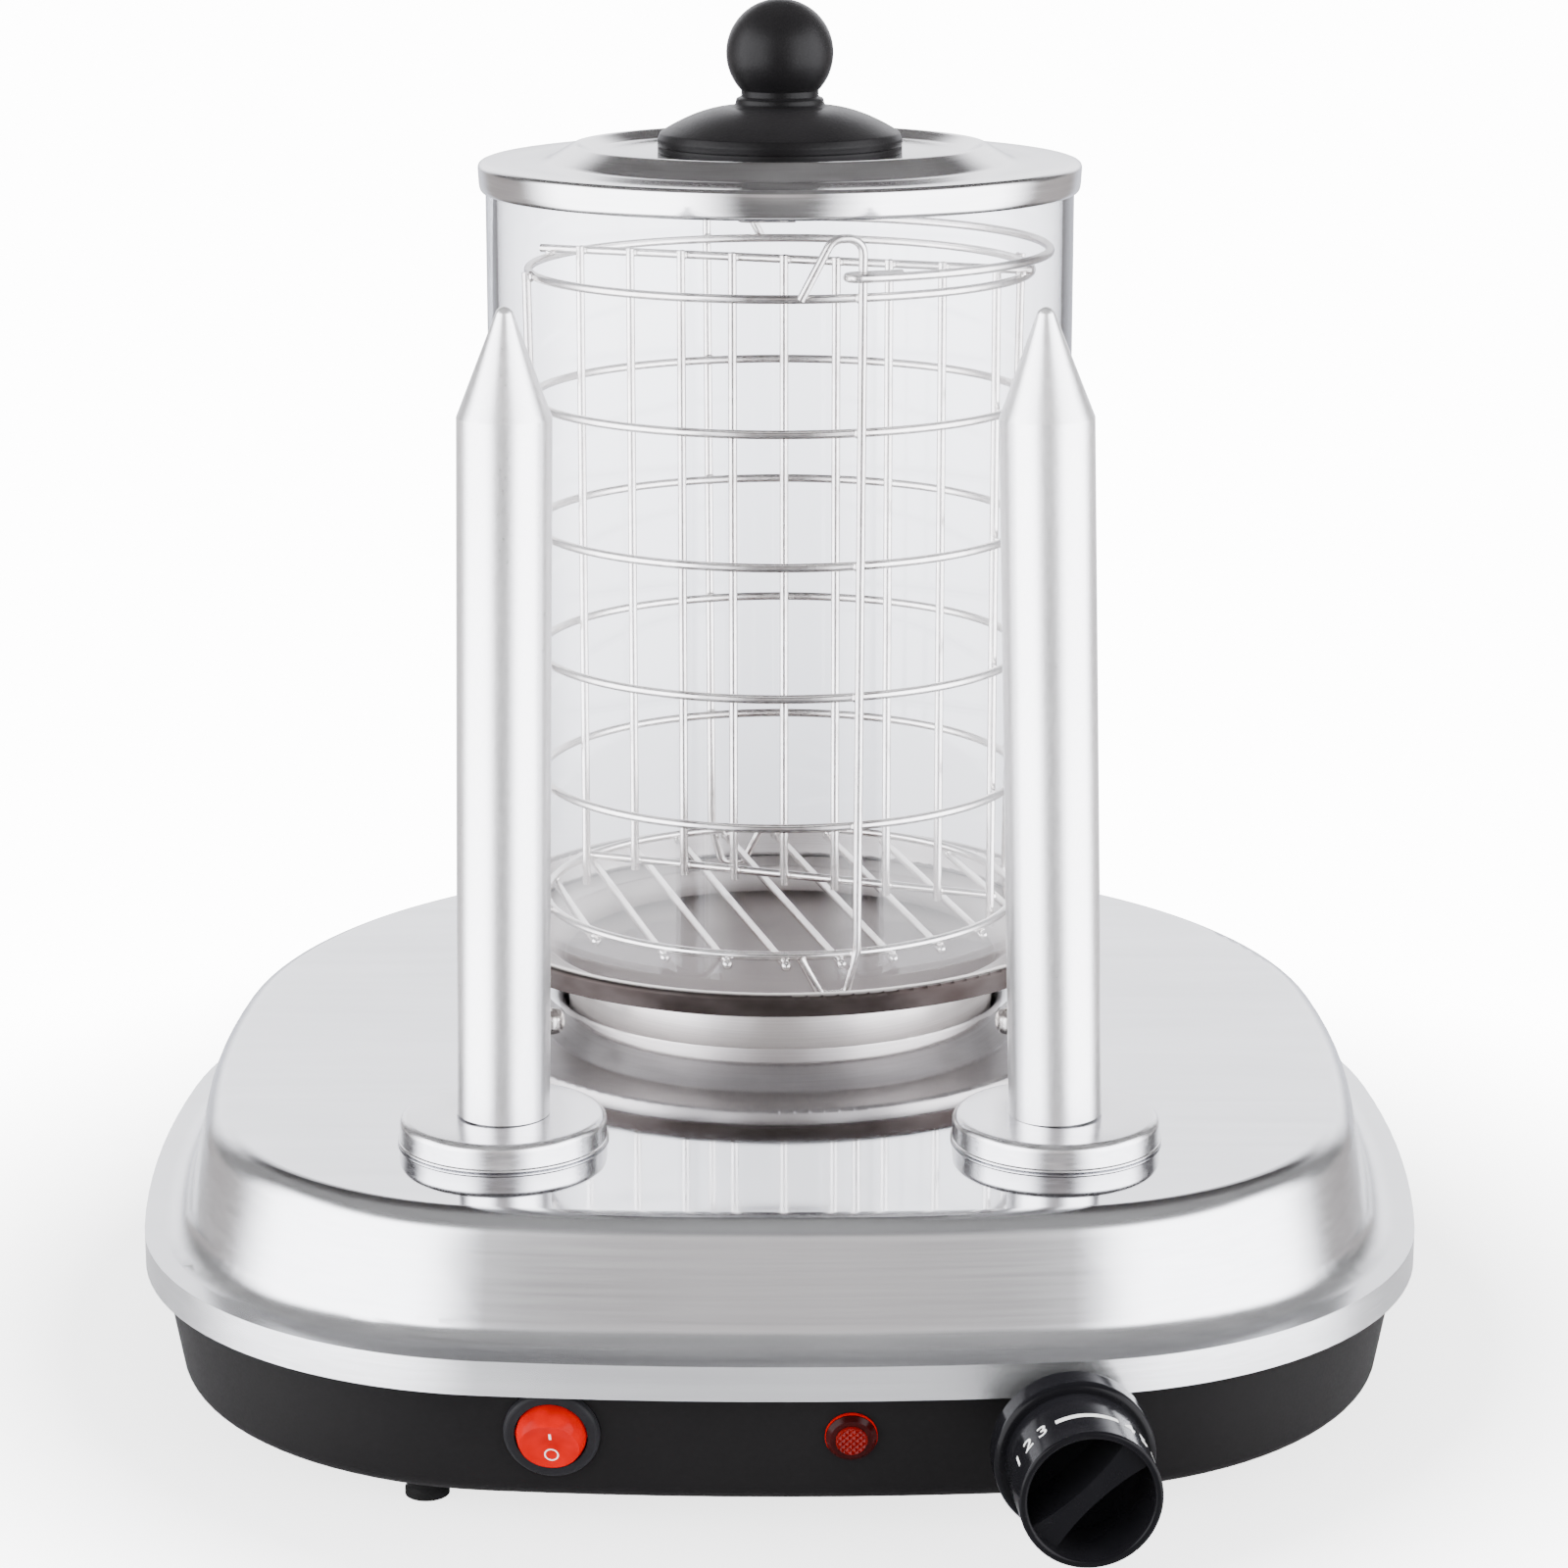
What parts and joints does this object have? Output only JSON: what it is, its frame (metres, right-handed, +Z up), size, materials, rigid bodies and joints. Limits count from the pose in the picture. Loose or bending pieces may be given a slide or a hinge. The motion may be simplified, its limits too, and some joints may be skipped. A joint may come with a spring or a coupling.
{
  "type": "hot dog cooker",
  "caption": "Electric hot dog cooker: glass steaming cylinder with a wire basket over a water bowl, heated bun spikes and front controls on a steel-topped base.",
  "frame": {"origin": "middle of the object at the height of the surface it stands on", "axes": "+Z up, the controls face -Y, +X to the right seen from the front"},
  "size_m": [0.3308, 0.3864, 0.3471],
  "materials": {
    "brushed_steel": "brushed satin",
    "bowl_steel": "brushed, slightly warm",
    "lid_steel": "polished, bright",
    "pan_paint": "matt black",
    "foot_rubber": "matt",
    "screw_steel": "zinc plated",
    "cast_alloy": "cast",
    "element_steel": "dull oxidised",
    "spike_alloy": "satin turned",
    "plain_plastic": "matt black",
    "knob_plastic": "gloss black",
    "grip_plastic": "fine grain",
    "red_plastic": "clear red",
    "clear_glass": "clear",
    "insert_brass": "turned",
    "basket_wire": "bright plated"
  },
  "bodies": {
    "base": {"base_pan": "pan_paint", "bowl_collar": "bowl_steel", "cable_gland": "plain_plastic", "collar_nuts": "screw_steel", "collar_screws": "screw_steel", "collar_spacers": "screw_steel", "feet": "foot_rubber", "foot_nuts": "screw_steel", "foot_screws": "screw_steel", "gland_nut": "plain_plastic", "heater_plate": "cast_alloy", "heating_element": "element_steel", "lamp_bezel": "plain_plastic", "lamp_lens": "red_plastic", "left_disc": "brushed_steel", "left_spike": "spike_alloy", "left_spike_heater": "element_steel", "right_disc": "brushed_steel", "right_spike": "spike_alloy", "right_spike_heater": "element_steel", "spike_nuts": "screw_steel", "switch_housing": "plain_plastic", "terminal_block": "plain_plastic", "thermal_cutout": "plain_plastic", "thermostat": "plain_plastic", "thermostat_bracket": "screw_steel", "thermostat_nut": "screw_steel", "tie_screws": "screw_steel", "tie_studs": "screw_steel", "top_plate": "brushed_steel", "water_bowl": "bowl_steel"},
    "glass": {"glass_cylinder": "clear_glass"},
    "lid": {"lid_shell": "lid_steel", "lid_ring": "lid_steel", "lid_knob": "grip_plastic", "lid_insert": "insert_brass", "lid_screw": "screw_steel"},
    "basket": {"basket_hoop_1": "basket_wire", "basket_hoop_2": "basket_wire", "basket_hoop_3": "basket_wire", "basket_hoop_4": "basket_wire", "basket_hoop_5": "basket_wire", "basket_hoop_6": "basket_wire", "basket_ear_front": "basket_wire", "basket_ear_rear": "basket_wire", "basket_strut_left": "basket_wire", "basket_strut_right": "basket_wire", "basket_floor": "basket_wire", "basket_divider": "basket_wire"},
    "bail": {"bail": "basket_wire"},
    "knob": {"control_knob": "knob_plastic", "thermostat_shaft": "screw_steel"},
    "rocker": {"rocker": "red_plastic"}
  },
  "joints": [
    {"name": "glass_lift", "type": "slide", "parent": "base", "child": "glass", "axis": [0, 0, 1], "range_m": [0, 0.2]},
    {"name": "lid_lift", "type": "slide", "parent": "glass", "child": "lid", "axis": [0, 0, 1], "range_m": [0, 0.1]},
    {"name": "basket_lift", "type": "slide", "parent": "base", "child": "basket", "axis": [0, 0, 1], "range_m": [0, 0.01]},
    {"name": "bail_swing", "type": "hinge", "parent": "basket", "child": "bail", "pos_m": [0.0055, 0.05468, 0.2808], "axis": [0.2054, -0.9787, 0], "range_deg": [0, 16]},
    {"name": "knob_turn", "type": "hinge", "parent": "base", "child": "knob", "pos_m": [0.0666, -0.1552, 0.0283], "axis": [-0.0924, 0.9957, 0], "range_deg": [0, 270]},
    {"name": "rocker_tilt", "type": "hinge", "parent": "base", "child": "rocker", "pos_m": [-0.05323, -0.15046, 0.02663], "axis": [-0.9969, 0.079, 0], "range_deg": [0, 31]}
  ]
}
